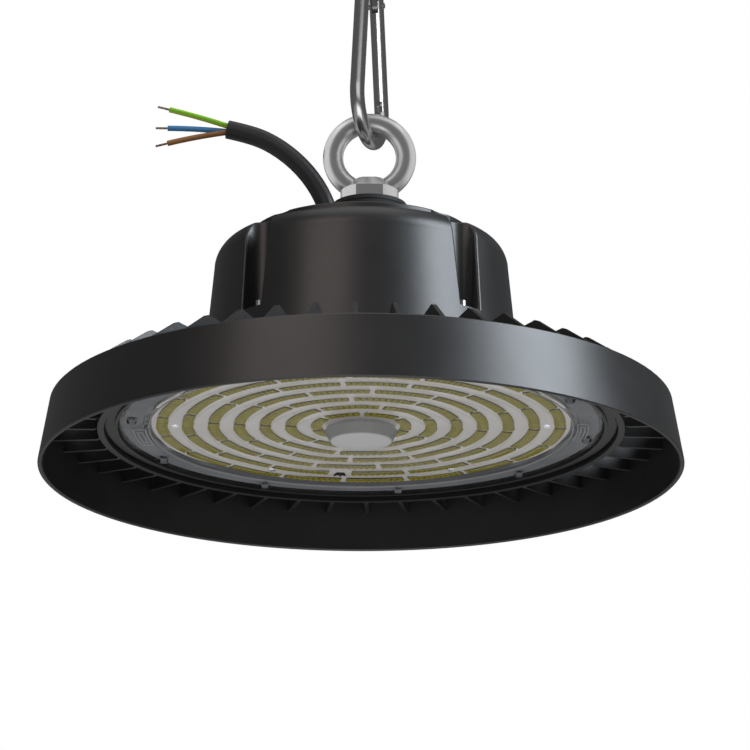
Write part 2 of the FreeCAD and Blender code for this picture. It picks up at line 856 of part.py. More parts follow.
def eye_bolt_washer():
    top = plateau_height - housing_wall
    washer = upright(eye_washer_radius, top - eye_washer_thickness, top, hook_offset)
    return washer.cut(upright(eye_shank_radius + clear_gap, top - eye_washer_thickness, top, hook_offset))


def eye_bolt_nut():
    top = plateau_height - housing_wall - eye_washer_thickness
    nut = hexagon(eye_nut_across, top - eye_nut_thickness, top, hook_offset)
    return nut.cut(upright(eye_shank_radius, top - eye_nut_thickness, top, hook_offset))


# Cable gland in four pieces
def gland_body():
    top = plateau_height + gland_body_thickness
    body = hexagon(gland_across, plateau_height, top, gland_x, gland_y)
    body = body.fuse(upright(gland_thread_radius, top, top + gland_thread_length / 2, gland_x, gland_y))
    foot = plateau_height - housing_wall - gland_locknut_thickness
    body = body.fuse(upright(gland_thread_radius, foot, plateau_height, gland_x, gland_y))
    bore = cable_radius + cable_bore_clearance
    return body.cut(upright(bore, foot, top + gland_thread_length, gland_x, gland_y))


def gland_seal():
    low = plateau_height + gland_body_thickness + gland_thread_length / 2
    seal = upright(gland_thread_radius, low, low + gland_seal_thickness, gland_x, gland_y)
    return seal.cut(upright(cable_radius, low, low + gland_seal_thickness, gland_x, gland_y))


def gland_nut():
    low = plateau_height + gland_body_thickness
    top = low + gland_nut_height
    round_off = gland_nut_radius - gland_nut_mouth_radius
    base = gland_x + gland_nut_radius
    profile = (
        (gland_thread_radius, low),
        (gland_nut_radius, low),
        (gland_nut_radius, top - round_off),
        (gland_nut_radius - round_off / 3, top - round_off / 3),
        (gland_nut_mouth_radius, top),
        (cable_radius + cable_bore_clearance, top),
        (cable_radius + cable_bore_clearance, top - round_off / 2),
        (gland_thread_radius, low + gland_thread_length / 2 + gland_seal_thickness),
    )
    nut = turned(profile)
    nut.translate(vector(gland_x, gland_y, 0))
    return nut


def gland_locknut():
    top = plateau_height - housing_wall
    nut = hexagon(gland_locknut_across, top - gland_locknut_thickness, top, gland_x, gland_y)
    return nut.cut(upright(gland_thread_radius, top - gland_locknut_thickness, top, gland_x, gland_y))


# Snap hook and gate, drawn in the plane of the hook and then turned
taper = asin((hook_wide_radius - hook_narrow_radius) / hook_centre_distance)
hook_side = vector(sin(radians(hook_turn)), cos(radians(hook_turn)), 0)
hook_normal = vector(cos(radians(hook_turn)), -sin(radians(hook_turn)), 0)


def hook_point(u, z):
    """Point u behind the hook's middle line, at a height."""
    return vector(hook_offset, 0, z) + hook_side * u


def wide_point(angle):
    return hook_point(hook_wide_radius * cos(angle), wide_centre_height + hook_wide_radius * sin(angle))


def narrow_point(angle):
    return hook_point(hook_narrow_radius * cos(angle),
                      narrow_centre_height + hook_narrow_radius * sin(angle))


nose_centre = wide_point(radians(nose_angle))
leg_top = narrow_point(taper)
leg_low = wide_point(taper)
leg_direction = (leg_top - leg_low).normalize()
nose_direction = (hook_side * -sin(radians(nose_angle)) + z_axis * cos(radians(nose_angle))).normalize()
pivot_point = leg_top - leg_direction * (pivot_tongue_length / 2)


def slab(at, along, length, thickness, width):
    """Flat block from a point along a direction, its thickness across the hook's plane."""
    across = along.cross(hook_normal).normalize()
    start = at - across * (width / 2) - hook_normal * (thickness / 2)
    points = [start, start + along * length, start + along * length + across * width,
              start + across * width]
    face = Part.Face(Part.makePolygon(points + points[:1]))
    return face.extrude(hook_normal * thickness)


def snap_hook():
    nose = radians(nose_angle)
    wide_arc = Part.Arc(nose_centre, wide_point(-pi / 2), wide_point(pi - taper)).toShape()
    spine = Part.LineSegment(wide_point(pi - taper), narrow_point(pi - taper)).toShape()
    narrow_arc = Part.Arc(narrow_point(pi - taper), narrow_point(pi / 2), leg_top).toShape()
    path = Part.Wire([wide_arc, spine, narrow_arc])
    circle = Part.Circle(nose_centre, nose_direction, hook_wire_radius)
    body = path.makePipeShell([Part.Wire([circle.toShape()])], True, False)
    tongue = slab(leg_top + leg_direction * tongue_root, leg_direction * -1,
                  pivot_tongue_length / 2 + tongue_root, pivot_tongue_thickness, pivot_tongue_width)
    knuckle = Part.makeCylinder(pivot_tongue_width / 2, pivot_tongue_thickness,
                                pivot_point - hook_normal * (pivot_tongue_thickness / 2), hook_normal)
    tongue = tongue.fuse(knuckle)
    key = slab(nose_centre - nose_direction * tongue_root, nose_direction,
               nose_tongue_length + tongue_root, nose_tongue_thickness, nose_tongue_width)
    hole = Part.makeCylinder(gate_pin_radius, 4 * hook_wire_radius,
                             pivot_point - hook_normal * (2 * hook_wire_radius), hook_normal)
    return body.fuse([tongue, key]).cut(hole)


def snap_gate():
    low_reach = (nose_centre - leg_top).dot(leg_direction * -1) - gate_end_gap
    knuckle_radius = pivot_tongue_length / 2 - gate_end_gap
    rod = Part.makeCylinder(hook_wire_radius, low_reach - pivot_tongue_length / 2, pivot_point,
                            leg_direction * -1)
    head = Part.makeCylinder(hook_wire_radius, pivot_tongue_length, leg_top, leg_direction * -1)
    knuckle = Part.makeCylinder(knuckle_radius, 2 * hook_wire_radius,
                                pivot_point - hook_normal * hook_wire_radius, hook_normal)
    rod = rod.fuse(head.common(knuckle))
    wide = 3 * hook_wire_radius
    pivot_slot = slab(leg_top, leg_direction * -1, pivot_tongue_length + 2 * gate_slot_clearance,
                      pivot_tongue_thickness + 2 * gate_slot_clearance, wide)
    low_end = leg_top - leg_direction * low_reach
    nose_slot = slab(low_end - leg_direction * tongue_root, leg_direction,
                     nose_tongue_length + tongue_root + 4 * gate_slot_clearance,
                     nose_tongue_thickness + 2 * gate_slot_clearance, wide)
    hole = Part.makeCylinder(gate_pin_radius + gate_pin_clearance, 4 * hook_wire_radius,
                             pivot_point - hook_normal * (2 * hook_wire_radius), hook_normal)
    return rod.cut([pivot_slot, nose_slot, hole])


def gate_pin():
    half = hook_wire_radius + gate_pin_head
    return Part.makeCylinder(gate_pin_radius, 2 * half, pivot_point - hook_normal * half, hook_normal)


def save(name, shape):
    moved = shape.copy()
    moved.translate(origin_shift)
    if not moved.isValid():
        print("not valid:", name)
    moved.exportStep(os.path.join("parts", name + ".step"))
    print(name, len(moved.Solids), "solids", round(moved.Volume / 1000, 2), "cm3")


def main():
    os.makedirs("parts", exist_ok=True)
    cable = tube(cable_points(), cable_radius)
    report_cord("supply_cable", cable_points(), cable_radius, cable)
    pieces = {
        "heat_sink": heat_sink(),
        "driver_housing": driver_housing(),
        "housing_gasket": housing_gasket(),
        "housing_screws": housing_screws(),
        "lens": lens(),
        "lens_gasket": lens_gasket(),
        "lens_screws": lens_screws(),
        "led_board": led_board(),
        "thermal_pad": thermal_pad(),
        "led_rows": led_rows(),
        "board_screws": board_screws(),
        "lead_terminal": lead_terminal(),
        "board_clip": board_clip(),
        "led_driver": led_driver(),
        "driver_screws": driver_screws(),
        "output_lead_left": output_lead(-1),
        "output_lead_right": output_lead(1),
        "eye_bolt": eye_bolt(),
        "eye_bolt_seal": eye_bolt_seal(),
        "eye_bolt_washer": eye_bolt_washer(),
        "eye_bolt_nut": eye_bolt_nut(),
        "gland_body": gland_body(),
        "gland_seal": gland_seal(),
        "gland_nut": gland_nut(),
        "gland_locknut": gland_locknut(),
        "supply_cable": cable,
        "snap_hook": snap_hook(),
        "snap_gate": snap_gate(),
        "gate_pin": gate_pin(),
    }
    for name in core_routes:
        core = core_solid(name, cable)
        report_cord("core_" + name, core_points(name), core_radius, core)
        pieces["core_" + name] = core
        pieces["strand_" + name] = strand_solid(name)
    for name, shape in pieces.items():
        save(name, shape)
    print("hang height", round(hang_height, 3))
    print("swing axis height", round(wire_axis_height - hang_height, 3))
    pivot = pivot_point + origin_shift
    print("gate pivot", round(pivot.x, 3), round(pivot.y, 3), round(pivot.z, 3))
    print("gate axis", round(-hook_normal.x, 5), round(-hook_normal.y, 5))


main()
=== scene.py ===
import bmesh
import bpy
import numpy as np
from math import cos, pi, radians, sin
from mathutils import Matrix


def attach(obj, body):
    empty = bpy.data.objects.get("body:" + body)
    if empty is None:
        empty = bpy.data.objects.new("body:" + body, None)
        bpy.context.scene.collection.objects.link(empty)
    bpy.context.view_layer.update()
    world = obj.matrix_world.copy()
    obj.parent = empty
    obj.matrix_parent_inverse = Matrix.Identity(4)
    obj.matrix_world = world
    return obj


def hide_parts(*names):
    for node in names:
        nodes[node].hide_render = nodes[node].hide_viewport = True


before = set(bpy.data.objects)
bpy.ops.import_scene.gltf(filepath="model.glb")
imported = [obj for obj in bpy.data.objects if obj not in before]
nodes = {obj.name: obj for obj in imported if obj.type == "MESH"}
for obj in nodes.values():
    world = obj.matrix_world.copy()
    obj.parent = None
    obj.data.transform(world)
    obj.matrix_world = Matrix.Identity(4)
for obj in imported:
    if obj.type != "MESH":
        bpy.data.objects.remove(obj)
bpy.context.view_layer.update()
print("frame loaded:", len(nodes), "nodes")

# Shapes below are in millimetres from the centre of the rim's lower edge, z up, front is -y.
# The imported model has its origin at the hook's top, so every point is moved by this much.
hookTop = np.array((4.0, 0.0, 255.5))
mergeGap = 1e-7
sharpAngle = radians(40.0)


def place(points):
    # metres in the model's frame = (millimetres - hook top) / 1000
    return (np.asarray(points, float) - hookTop) / 1000.0


def meshObject(name, verts, faces, body, smooth=True, uv=None):
    mesh = bpy.data.meshes.new(name)
    mesh.from_pydata([tuple(v) for v in place(verts)], [], [tuple(f) for f in faces])
    if uv is not None:
        layer = mesh.uv_layers.new(name="UVMap")
        loops = np.zeros(len(mesh.loops), int)
        mesh.loops.foreach_get("vertex_index", loops)
        layer.data.foreach_set("uv", np.asarray(uv, np.float32)[loops].ravel())
    # poles and seams are closed and every face is turned outwards
    shell = bmesh.new()
    shell.from_mesh(mesh)
    bmesh.ops.remove_doubles(shell, verts=shell.verts, dist=mergeGap)
    bmesh.ops.recalc_face_normals(shell, faces=shell.faces)
    shell.to_mesh(mesh)
    shell.free()
    mesh.polygons.foreach_set("use_smooth", np.full(len(mesh.polygons), smooth))
    if smooth:
        mesh.set_sharp_from_angle(angle=sharpAngle)
    obj = bpy.data.objects.new(name, mesh)
    bpy.context.scene.collection.objects.link(obj)
    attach(obj, body)
    return obj


def gridFaces(rows, columns, closeRows=False, closeColumns=False):
    # quads between neighbours of a rows by columns grid, wrapped where a direction closes on itself
    r = np.arange(rows if closeRows else rows - 1)
    c = np.arange(columns if closeColumns else columns - 1)
    i, j = np.meshgrid(r, c, indexing="ij")
    i2 = (i + 1) % rows
    j2 = (j + 1) % columns
    quads = np.stack((i * columns + j, i * columns + j2, i2 * columns + j2, i2 * columns + j), -1)
    return quads.reshape(-1, 4)


def turnedGrid(profile, steps):
    # a closed (radius, height) profile swept round the z axis: x = r sin a, y = -r cos a
    profile = np.asarray(profile, float)
    angle = np.linspace(0, 2 * pi, steps, endpoint=False)
    r = profile[:, 0][:, None]
    z = np.repeat(profile[:, 1][:, None], steps, 1)
    points = np.stack((r * np.sin(angle), -r * np.cos(angle), z), -1)
    return points.reshape(-1, 3)


def newMaterial(name):
    mat = bpy.data.materials.new(name)
    mat.use_nodes = True
    tree = mat.node_tree
    tree.nodes.clear()
    out = tree.nodes.new("ShaderNodeOutputMaterial")
    shader = tree.nodes.new("ShaderNodeBsdfPrincipled")
    tree.links.new(shader.outputs[0], out.inputs["Surface"])
    return mat, tree, shader


def objectCoords(tree, scale=(1, 1, 1)):
    coords = tree.nodes.new("ShaderNodeTexCoord")
    mapping = tree.nodes.new("ShaderNodeMapping")
    mapping.inputs["Scale"].default_value = scale
    tree.links.new(coords.outputs["Object"], mapping.inputs["Vector"])
    return mapping.outputs[0]


def noise(tree, vector, scale, detail=2.0):
    node = tree.nodes.new("ShaderNodeTexNoise")
    node.inputs["Scale"].default_value = scale
    node.inputs["Detail"].default_value = detail
    tree.links.new(vector, node.inputs["Vector"])
    return node.outputs["Fac"]


def spread(tree, value, low, high, fromLow=0.3, fromHigh=0.7):
    # most of a noise lies between 0.3 and 0.7, and is stretched from the low value to the high one
    node = tree.nodes.new("ShaderNodeMapRange")
    node.inputs["From Min"].default_value = fromLow
    node.inputs["From Max"].default_value = fromHigh
    node.inputs["To Min"].default_value = low
    node.inputs["To Max"].default_value = high
    tree.links.new(value, node.inputs["Value"])
    return node.outputs[0]


def mixColour(tree, factor, first, second):
    node = tree.nodes.new("ShaderNodeMix")
    node.data_type = "RGBA"
    tree.links.new(factor, node.inputs[0])
    node.inputs[6].default_value = (*first, 1.0)
    node.inputs[7].default_value = (*second, 1.0)
    return node.outputs[2]


def bump(tree, shader, height, strength, distance):
    node = tree.nodes.new("ShaderNodeBump")
    node.inputs["Strength"].default_value = strength
    node.inputs["Distance"].default_value = distance
    tree.links.new(height, node.inputs["Height"])
    tree.links.new(node.outputs[0], shader.inputs["Normal"])


def heightMask(tree, coords, low, high):
    # 0 below the low height and 1 above the high one, both in millimetres over the rim
    split = tree.nodes.new("ShaderNodeSeparateXYZ")
    tree.links.new(coords, split.inputs[0])
    lowZ, highZ = [place((0.0, 0.0, height))[2] for height in (low, high)]
    return spread(tree, split.outputs["Z"], 0.0, 1.0, lowZ, highZ)


def matteAbove(tree, coords, roughness, look):
    # the coat is left coarse above the height where a seal bears on it
    node = tree.nodes.new("ShaderNodeMath")
    node.operation = "MULTIPLY_ADD"
    node.use_clamp = True
    above = heightMask(tree, coords, look["matteFrom"], look["matteFrom"] + look["matteOver"])
    tree.links.new(above, node.inputs[0])
    node.inputs[1].default_value = look["matteAdds"]
    tree.links.new(roughness, node.inputs[2])
    return node.outputs[0]


def byRay(tree, rayKinds, usual, special):
    # one shader for most rays, and another for the kinds of ray named
    path = tree.nodes.new("ShaderNodeLightPath")
    chosen = path.outputs[rayKinds[0]]
    for kind in rayKinds[1:]:
        either = tree.nodes.new("ShaderNodeMath")
        either.operation = "MAXIMUM"
        tree.links.new(chosen, either.inputs[0])
        tree.links.new(path.outputs[kind], either.inputs[1])
        chosen = either.outputs[0]
    mix = tree.nodes.new("ShaderNodeMixShader")
    tree.links.new(chosen, mix.inputs[0])
    tree.links.new(usual, mix.inputs[1])
    tree.links.new(special, mix.inputs[2])
    return mix.outputs[0]


def surfaceSocket(tree):
    return [node for node in tree.nodes if node.type == "OUTPUT_MATERIAL"][0].inputs["Surface"]


def surface(name, look):
    # colour and roughness follow one cloudy noise and the fine bump another, all from one look's values
    mat, tree, shader = newMaterial(name)
    coords = objectCoords(tree, look.get("stretch", (1, 1, 1)))
    clouds = noise(tree, coords, look.get("cloudScale", 45.0), detail=4.0)
    grain = noise(tree, coords, look["grainScale"])
    colour = mixColour(tree, spread(tree, clouds, 0.0, 1.0), look["colour"], look["shade"])
    tree.links.new(colour, shader.inputs["Base Color"])
    roughness = spread(tree, clouds, look["rough"][0], look["rough"][1])
    if "matteFrom" in look:
        roughness = matteAbove(tree, coords, roughness, look)
    tree.links.new(roughness, shader.inputs["Roughness"])
    shader.inputs["Metallic"].default_value = look.get("metal", 0.0)
    shader.inputs["Specular IOR Level"].default_value = look.get("specular", 0.5)
    bump(tree, shader, grain, look["bump"], look["bumpDepth"])
    return mat


looks = {
    "blackCoat": {"colour": (0.0105, 0.0102, 0.0102), "shade": (0.0135, 0.0130, 0.0130),
                  "rough": (0.34, 0.39), "grainScale": 1500.0, "bump": 0.10, "bumpDepth": 0.0002,
                  "cloudScale": 30.0, "specular": 0.72, "matteFrom": 119.5, "matteOver": 0.5,
                  "matteAdds": 0.5},
    "blackRubber": {"colour": (0.014, 0.014, 0.015), "shade": (0.022, 0.022, 0.023), "rough": (0.60, 0.75),
                    "grainScale": 1800.0, "bump": 0.20, "bumpDepth": 0.0003},
    "greySilicone": {"colour": (0.30, 0.30, 0.31), "shade": (0.24, 0.24, 0.25), "rough": (0.55, 0.65),
                     "grainScale": 900.0, "bump": 0.10, "bumpDepth": 0.0003},
    "zincPlate": {"colour": (0.62, 0.62, 0.63), "shade": (0.50, 0.51, 0.53), "rough": (0.20, 0.30),
                  "metal": 1.0, "grainScale": 1200.0, "bump": 0.08, "bumpDepth": 0.0002},
    "screwSteel": {"colour": (0.26, 0.26, 0.27), "shade": (0.18, 0.19, 0.20), "rough": (0.16, 0.24),
                   "metal": 1.0, "grainScale": 1200.0, "bump": 0.08, "bumpDepth": 0.0002},
    "frostedRib": {"colour": (0.36, 0.36, 0.37), "shade": (0.30, 0.30, 0.31), "rough": (0.40, 0.50),
                   "grainScale": 900.0, "bump": 0.06, "bumpDepth": 0.0002},
    "whiteMask": {"colour": (0.69, 0.63, 0.575), "shade": (0.63, 0.575, 0.525), "rough": (0.38, 0.50),
                  "grainScale": 700.0, "bump": 0.06, "bumpDepth": 0.0002},
    "greyPad": {"colour": (0.42, 0.43, 0.45), "shade": (0.36, 0.37, 0.39), "rough": (0.70, 0.80),
                "grainScale": 900.0, "bump": 0.15, "bumpDepth": 0.0003},
    "whitePlastic": {"colour": (0.80, 0.80, 0.78), "shade": (0.74, 0.74, 0.72), "rough": (0.35, 0.45),
                     "grainScale": 1500.0, "bump": 0.06, "bumpDepth": 0.0002},
    "blackPlastic": {"colour": (0.018, 0.018, 0.018), "shade": (0.030, 0.030, 0.030), "rough": (0.40, 0.55),
                     "grainScale": 1600.0, "bump": 0.12, "bumpDepth": 0.0002},
    "clipPlastic": {"colour": (0.006, 0.006, 0.006), "shade": (0.010, 0.010, 0.010), "rough": (0.70, 0.80),
                    "grainScale": 1600.0, "bump": 0.12, "bumpDepth": 0.0002, "specular": 0.0},
    "driverShell": {"colour": (0.22, 0.23, 0.25), "shade": (0.16, 0.17, 0.19), "rough": (0.50, 0.62),
                    "grainScale": 900.0, "bump": 0.12, "bumpDepth": 0.0004},
    "redLead": {"colour": (0.55, 0.02, 0.015), "shade": (0.42, 0.015, 0.012), "rough": (0.35, 0.45),
                "grainScale": 1500.0, "bump": 0.05, "bumpDepth": 0.0002},
    "forgedSteel": {"colour": (0.74, 0.74, 0.74), "shade": (0.67, 0.67, 0.68), "rough": (0.30, 0.38),
                    "metal": 1.0, "grainScale": 900.0, "bump": 0.14, "bumpDepth": 0.0003, "cloudScale": 90.0},
    "drawnSteel": {"colour": (0.62, 0.62, 0.62), "shade": (0.54, 0.54, 0.55), "rough": (0.20, 0.28),
                   "metal": 1.0, "grainScale": 900.0, "bump": 0.05, "bumpDepth": 0.0002, "cloudScale": 60.0,
                   "stretch": (1.0, 1.0, 0.15)},
    "sheathRubber": {"colour": (0.016, 0.016, 0.017), "shade": (0.024, 0.024, 0.025), "rough": (0.38, 0.48),
                     "grainScale": 1300.0, "bump": 0.14, "bumpDepth": 0.0003},
    "blueCore": {"colour": (0.055, 0.24, 0.50), "shade": (0.045, 0.20, 0.44), "rough": (0.36, 0.46),
                 "grainScale": 1500.0, "bump": 0.05, "bumpDepth": 0.0002},
    "brownCore": {"colour": (0.30, 0.135, 0.035), "shade": (0.24, 0.105, 0.028), "rough": (0.36, 0.46),
                  "grainScale": 1500.0, "bump": 0.05, "bumpDepth": 0.0002},
    "bareCopper": {"colour": (0.52, 0.38, 0.30), "shade": (0.40, 0.28, 0.22), "rough": (0.28, 0.40),
                   "metal": 1.0, "grainScale": 2500.0, "bump": 0.10, "bumpDepth": 0.0002,
                   "cloudScale": 300.0},
    # the pad and the lamp's sides are dark partly in their own colour and partly with painted shade of the
    # gaps between lamps
    "padWithPaintedShade": {"colour": (0.088, 0.075, 0.008), "shade": (0.064, 0.054, 0.006), "rough": (0.60, 0.70),
                "grainScale": 1500.0, "bump": 0.05, "bumpDepth": 0.0001, "specular": 0.0},
    "lampSideWithPaintedShade": {"colour": (0.165, 0.136, 0.004), "shade": (0.128, 0.107, 0.003), "rough": (0.60, 0.70),
                  "grainScale": 1500.0, "bump": 0.05, "bumpDepth": 0.0001, "specular": 0.0},
    "phosphorGel": {"colour": (0.36, 0.30, 0.012), "shade": (0.27, 0.226, 0.008), "rough": (0.55, 0.65),
                    "grainScale": 2200.0, "bump": 0.12, "bumpDepth": 0.0001, "cloudScale": 220.0,
                    "specular": 0.0},
}
materials = {name: surface(name, look) for name, look in looks.items()}
print("plain materials made:", len(materials))


def dress(name, *nodeNames):
    for nodeName in nodeNames:
        data = nodes[nodeName].data
        data.materials.clear()
        data.materials.append(materials[name])


dress("blackCoat", "heat_sink", "driver_housing")
dress("blackRubber", "housing_gasket", "eye_bolt_seal", "gland_seal")
dress("greySilicone", "lens_gasket")
dress("zincPlate", "housing_screws", "board_screws", "driver_screws", "eye_bolt_washer", "eye_bolt_nut")
dress("screwSteel", "lens_screws")
dress("whiteMask", "led_board")
dress("greyPad", "thermal_pad")
dress("whitePlastic", "lead_terminal")
dress("clipPlastic", "board_clip")
dress("blackPlastic", "gland_body", "gland_nut", "gland_locknut", "output_lead_right")
dress("driverShell", "led_driver")
dress("redLead", "output_lead_left")
dress("forgedSteel", "eye_bolt")
dress("drawnSteel", "snap_hook", "snap_gate", "gate_pin")


gland = {"x": -14.6, "y": 28.0, "foot": 118.0}
supplyLead = {
    "radius": 4.7,
    # the middle line from the gland's foot, as (x, z)
    "route": ((0.0, 2.5), (0.0, 15.1), (-2.8, 27.6), (-8.7, 39.6), (-17.4, 50.5), (-28.6, 59.6),
              (-40.5, 65.4), (-53.0, 68.2)),
    "rings": 90,
    "plainEnd": 0.4,
    # the rounded cut edge and the face set back inside the wall, as (back from the end, in from the radius)
    "cutEdge": ((0.15, 0.06), (0.0, 0.3), (0.0, 0.85), (0.1, 1.0), (0.5, 1.0)),
    "sides": 40,
    # metres, as the cord's own record has it
    "length": 0.0929,
}
leadCores = {
    "radius": 1.4,
    "rings": 24,
    "plainEnd": 0.25,
    "cutEdge": ((0.08, 0.05), (0.0, 0.16)),
    "sides": 24,
    "wires": 7,
    "strandRadius": 0.6,
    "strandRoot": 0.6,
    "strandLength": 6.0,
    "strandSamples": 14,
    "strandLay": 14.0,
    "wireRings": 12,
    "wireSides": 8,
    # the middle lines from the sheath's end, as (x, y, z)
    "routes": {
        "earth": ((0.1, 0.2, 1.9), (-14.4, 0.0, 6.9), (-29.2, -0.4, 10.5)),
        "neutral": ((0.1, 1.8, -0.5), (-15.0, 1.9, 1.2), (-30.1, 2.0, 1.4)),
        "live": ((0.1, -1.4, -2.1), (-15.0, -1.6, -4.3), (-29.9, -1.8, -8.2)),
    },
    "lengths": {"earth": 0.0306, "neutral": 0.0303, "live": 0.0306},
}


def splineLine(name, route, samples=16):
    # the smooth NURBS line through a route's control points, read back as points in millimetres
    curve = bpy.data.curves.new(name, "CURVE")
    curve.dimensions = "3D"
    curve.resolution_u = samples
    spline = curve.splines.new("NURBS")
    spline.points.add(len(route) - 1)
    for point, where in zip(spline.points, place(route)):
        point.co = (*where, 1.0)
    spline.order_u = 3
    spline.use_endpoint_u = True
    obj = bpy.data.objects.new(name, curve)
    bpy.context.scene.collection.objects.link(obj)
    line = bpy.data.meshes.new_from_object(obj.evaluated_get(bpy.context.evaluated_depsgraph_get()))
    points = np.array([v.co[:] for v in line.vertices]) * 1000.0 + hookTop
    bpy.data.objects.remove(obj)
    bpy.data.curves.remove(curve)
    bpy.data.meshes.remove(line)
    return points


def lineFrames(points):
    # tangent by differences, a normal carried along it without twist, and the binormal across both
    tangent = np.gradient(points, axis=0)
    tangent /= np.linalg.norm(tangent, axis=1)[:, None]
    normal = np.zeros_like(tangent)
    start = np.cross(tangent[0], (0.0, 1.0, 0.0))
    normal[0] = start / np.linalg.norm(start)
    for k in range(1, len(points)):
        along = normal[k - 1] - tangent[k] * (normal[k - 1] @ tangent[k])
        normal[k] = along / np.linalg.norm(along)
    return normal, np.cross(tangent, normal)


def lineSteps(line):
    # distance along a line at each of its points
    return np.concatenate(((0.0,), np.cumsum(np.linalg.norm(np.diff(line, axis=0), axis=1))))


cablePoints = [(gland["x"] + x, gland["y"], gland["foot"] + z) for x, z in supplyLead["route"]]
cableLine = splineLine("supplyLine", cablePoints)
print("supply lead line:", len(cableLine), "points")


def sweptTube(line, stations, sides):
    # at each (distance, radius) station: line point + radius (normal cos a + binormal sin a)
    steps = lineSteps(line)
    where = np.array([s for s, r in stations], float)
    radius = np.array([r for s, r in stations], float)
    centre, across, beside = [np.stack([np.interp(where, steps, values[:, k]) for k in range(3)], -1)
                              for values in (line, *lineFrames(line))]
    angle = np.linspace(0, 2 * pi, sides, endpoint=False)
    ring = across[:, None] * np.cos(angle)[None, :, None] + beside[:, None] * np.sin(angle)[None, :, None]
    verts = centre[:, None] + ring * radius[:, None, None]
    # u goes once round the tube, and v once in every ten millimetres along it
    u = np.linspace(0, 1, sides, endpoint=False)[None, :]
    uv = np.stack(np.broadcast_arrays(u, where[:, None] / 10.0), -1)
    return verts.reshape(-1, 3), gridFaces(len(where), sides, closeColumns=True), uv.reshape(-1, 2)


def cutTube(line, tube):
    # a tube closed at its start, with a plain run, a cut edge and a flat end face
    length = lineSteps(line)[-1]
    run = [(s, tube["radius"]) for s in np.linspace(0.0, length - tube["plainEnd"], tube["rings"])]
    edge = [(length - back, tube["radius"] - inward) for back, inward in tube["cutEdge"]]
    return sweptTube(line, [(0.0, 0.0)] + run + edge + [(edge[-1][0], 0.0)], tube["sides"])


def stripedInsulation(name, look):
    # yellow band along green insulation, placed by the tube's own UV, with a soft edge
    mat, tree, shader = newMaterial(name)
    uvNode = tree.nodes.new("ShaderNodeUVMap")
    uvNode.uv_map = "UVMap"
    split = tree.nodes.new("ShaderNodeSeparateXYZ")
    tree.links.new(uvNode.outputs[0], split.inputs[0])
    wave = tree.nodes.new("ShaderNodeMath")
    wave.operation = "MULTIPLY"
    wave.inputs[1].default_value = 2 * pi * look["bands"]
    tree.links.new(split.outputs["X"], wave.inputs[0])
    cosine = tree.nodes.new("ShaderNodeMath")
    cosine.operation = "COSINE"
    tree.links.new(wave.outputs[0], cosine.inputs[0])
    mask = spread(tree, cosine.outputs[0], 0.0, 1.0, look["edge"][0], look["edge"][1])
    grain = noise(tree, objectCoords(tree), look["grainScale"])
    tree.links.new(mixColour(tree, mask, look["green"], look["yellow"]), shader.inputs["Base Color"])
    tree.links.new(spread(tree, grain, look["rough"][0], look["rough"][1]), shader.inputs["Roughness"])
    bump(tree, shader, grain, look["bump"], look["bumpDepth"])
    return mat


earthLook = {"green": (0.17, 0.50, 0.012), "yellow": (0.50, 0.66, 0.012), "bands": 2.0, "edge": (-0.6, 0.0),
             "rough": (0.34, 0.44), "grainScale": 1500.0, "bump": 0.05, "bumpDepth": 0.0002}
materials["earthCore"] = stripedInsulation("earthCore", earthLook)

verts, faces, uv = cutTube(cableLine, supplyLead)
sheath = meshObject("supplyLead", verts, faces, "light", uv=uv)
sheath.data.materials.append(materials["sheathRubber"])
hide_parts("supply_cable")


def strandBundle(start, direction):
    # wires of one strand: start + direction s + offset turned by 2 pi s / lay round the middle wire
    side = np.cross(direction, (0.0, 1.0, 0.0))
    side /= np.linalg.norm(side)
    other = np.cross(direction, side)
    s = np.linspace(-leadCores["strandRoot"], leadCores["strandLength"], leadCores["strandSamples"])
    wire = leadCores["strandRadius"] / 3.0
    outerWires = leadCores["wires"] - 1
    allVerts = []
    allFaces = []
    for k in range(leadCores["wires"]):
        turn = 2 * pi * (k / outerWires + s / leadCores["strandLay"])
        out = 0.0 if k == outerWires else 2.0 * wire
        offset = side * np.cos(turn)[:, None] + other * np.sin(turn)[:, None]
        centre = start + direction * s[:, None] + out * offset
        length = lineSteps(centre)[-1]
        stations = [(0.0, 0.0)] + [(d, wire) for d in np.linspace(0.0, length, leadCores["wireRings"])]
        wireVerts, wireFaces, _ = sweptTube(centre, stations + [(length, 0.0)], leadCores["wireSides"])
        allFaces.append(wireFaces + sum(len(v) for v in allVerts))
        allVerts.append(wireVerts)
    return np.concatenate(allVerts), np.concatenate(allFaces)


cableEnd = np.array(cablePoints[-1])
coreFinish = {"earth": ("earthCore", "core_green"), "neutral": ("blueCore", "core_blue"),
              "live": ("brownCore", "core_brown")}
for name, route in leadCores["routes"].items():
    coreLine = splineLine("coreLine", [cableEnd + np.array(p) for p in route])
    ending = coreLine[-1] - coreLine[-2]
    ending /= np.linalg.norm(ending)
    strandVerts, strandFaces = strandBundle(coreLine[-1], ending)
    strand = meshObject(name + "Strand", strandVerts, strandFaces, "light")
    strand.data.materials.append(materials["bareCopper"])
    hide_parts("strand_" + name)
    verts, faces, uv = cutTube(coreLine, leadCores)
    core = meshObject(name + "Core", verts, faces, "light", uv=uv)
    core.data.materials.append(materials[coreFinish[name][0]])
    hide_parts("core_" + name)
print("supply lead and cores made")


